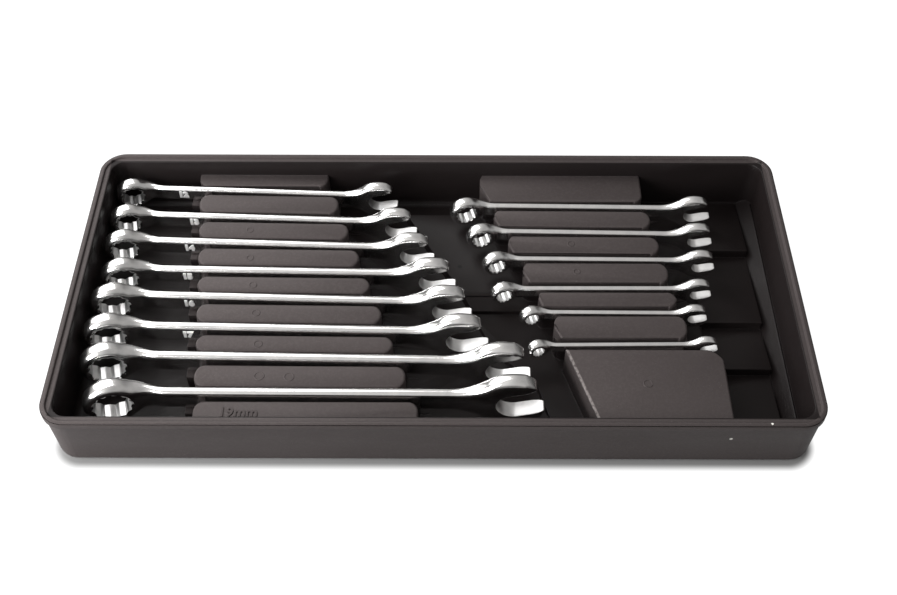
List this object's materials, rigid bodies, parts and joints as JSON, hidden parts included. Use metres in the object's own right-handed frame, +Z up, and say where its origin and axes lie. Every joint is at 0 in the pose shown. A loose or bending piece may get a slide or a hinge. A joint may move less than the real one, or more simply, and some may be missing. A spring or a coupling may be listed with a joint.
{
  "type": "tool storage tray",
  "caption": "Open moulded tray with raised islands and slots holding a fitted, graded set of combination spanners on edge, ring ends to the left.",
  "frame": {"origin": "middle of the base, on the surface that the tray stands on", "axes": "+X along the tray towards the well at the smaller spanners' jaws, +Y from the front to the back, +Z up out of the open top"},
  "size_m": [0.42, 0.204, 0.0443],
  "materials": {
    "moulded_plastic": "charcoal moulded plastic with a fine matt grain",
    "polished_chrome": "polished chrome plate over forged steel"
  },
  "bodies": {
    "root": {"tray": "moulded_plastic", "spanner_12": "polished_chrome", "spanner_13": "polished_chrome", "spanner_14": "polished_chrome", "spanner_15": "polished_chrome", "spanner_16": "polished_chrome", "spanner_17": "polished_chrome", "spanner_18": "polished_chrome", "spanner_19": "polished_chrome", "spanner_11": "polished_chrome", "spanner_10": "polished_chrome", "spanner_09": "polished_chrome", "spanner_08": "polished_chrome", "spanner_07": "polished_chrome", "spanner_06": "polished_chrome"}
  },
  "joints": []
}
